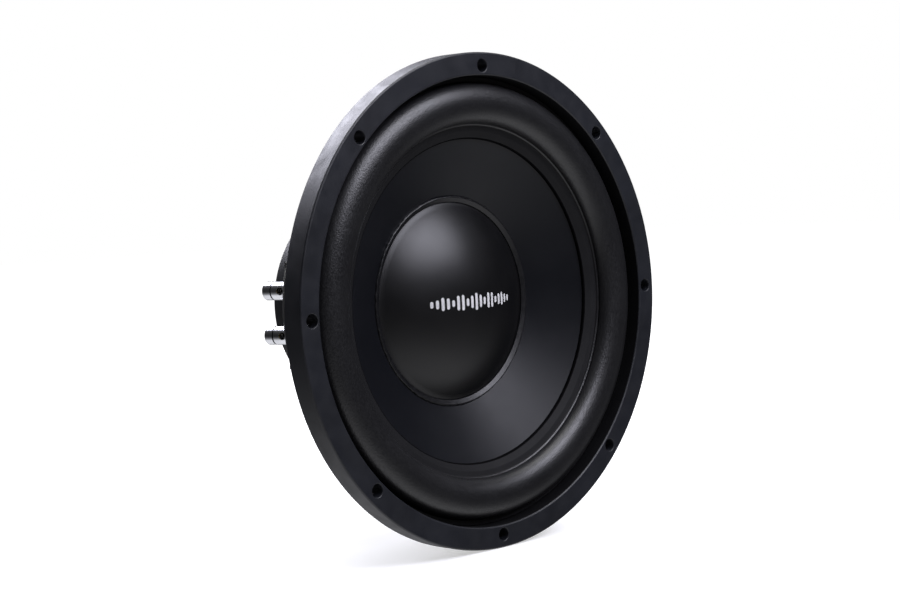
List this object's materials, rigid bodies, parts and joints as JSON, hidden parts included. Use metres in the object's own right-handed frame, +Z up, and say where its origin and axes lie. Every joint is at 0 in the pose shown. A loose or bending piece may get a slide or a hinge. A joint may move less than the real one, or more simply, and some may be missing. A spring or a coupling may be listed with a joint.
{
  "type": "car subwoofer speaker",
  "caption": "Round car subwoofer driver with thick rubber rim gasket, half-roll surround, domed cap, spoked steel basket, booted magnet motor and push terminals.",
  "frame": {"origin": "centre of the flange's rear face, on the driver's axis: the plane where the flange meets the baffle board", "axes": "+Y along the driver's axis from the flange to the magnet, so the cone faces -Y; +Z up as the driver stands in its baffle; the push terminals are on the -X side"},
  "size_m": [0.315, 0.1363, 0.315],
  "materials": {
    "gasket_rubber": "moulded matte black rubber with a faint blue cast",
    "basket_paint": "satin black powder coat",
    "surround_rubber": "fine-grained black rubber with a soft sheen",
    "cone_satin": "smooth satin black",
    "dust_cap_matte": "smooth matte black",
    "glue": "glossy black adhesive",
    "former_aluminium": "bare",
    "copper_wire": "enamelled copper",
    "spider_cloth": "resin-treated woven cotton",
    "motor_steel": "black zinc plate",
    "ferrite": "dark grey sintered ferrite",
    "boot_rubber": "satin black moulded rubber",
    "tinsel_braid": "tinned copper braid",
    "black_plastic": "moulded black plastic",
    "contact_brass": "nickel-washed brass",
    "chrome": "polished chrome plate",
    "spring_steel": "bright steel wire",
    "tinned_brass": "tinned",
    "rivet_steel": "zinc-plated steel"
  },
  "bodies": {
    "frame": {"gasket_ring": "gasket_rubber", "basket": "basket_paint", "surround": "surround_rubber", "spider": "spider_cloth", "top_plate": "motor_steel", "magnet": "ferrite", "t_yoke": "motor_steel", "magnet_boot": "boot_rubber", "upper_tinsel_lead": "tinsel_braid", "lower_tinsel_lead": "tinsel_braid", "terminal_panel": "black_plastic", "panel_rivet_1": "rivet_steel", "panel_rivet_2": "rivet_steel", "motor_rivet_1": "rivet_steel", "motor_rivet_2": "rivet_steel", "motor_rivet_3": "rivet_steel", "motor_rivet_4": "rivet_steel", "upper_terminal_post": "contact_brass", "upper_terminal_collar": "black_plastic", "upper_terminal_spring": "spring_steel", "upper_terminal_solder_tab": "tinned_brass", "upper_terminal_washer": "black_plastic", "upper_terminal_nut": "rivet_steel", "lower_terminal_post": "contact_brass", "lower_terminal_collar": "black_plastic", "lower_terminal_spring": "spring_steel", "lower_terminal_solder_tab": "tinned_brass", "lower_terminal_washer": "black_plastic", "lower_terminal_nut": "rivet_steel"},
    "moving_assembly": {"cone": "cone_satin", "dust_cap": "dust_cap_matte", "cap_glue_bead": "glue", "former_glue_collar": "glue", "voice_coil_former": "former_aluminium", "voice_coil_winding": "copper_wire"},
    "upper_push_button": {"upper_terminal_sleeve": "chrome", "upper_terminal_cap": "chrome"},
    "lower_push_button": {"lower_terminal_sleeve": "chrome", "lower_terminal_cap": "chrome"}
  },
  "joints": [
    {"name": "cone_travel", "type": "slide", "parent": "frame", "child": "moving_assembly", "axis": [0, -1, 0], "range_m": [-0.012, 0.012], "stiffness_N_per_m": 5000, "deforming": ["surround", "spider", "upper_tinsel_lead", "lower_tinsel_lead"]},
    {"name": "upper_terminal_push", "type": "slide", "parent": "frame", "child": "upper_push_button", "axis": [0.2334, -0.9724, 0], "range_m": [0, 0.003], "stiffness_N_per_m": 800, "springref_m": -0.002, "deforming": ["upper_terminal_spring"]},
    {"name": "lower_terminal_push", "type": "slide", "parent": "frame", "child": "lower_push_button", "axis": [0.2334, -0.9724, 0], "range_m": [0, 0.003], "stiffness_N_per_m": 800, "springref_m": -0.002, "deforming": ["lower_terminal_spring"]}
  ]
}
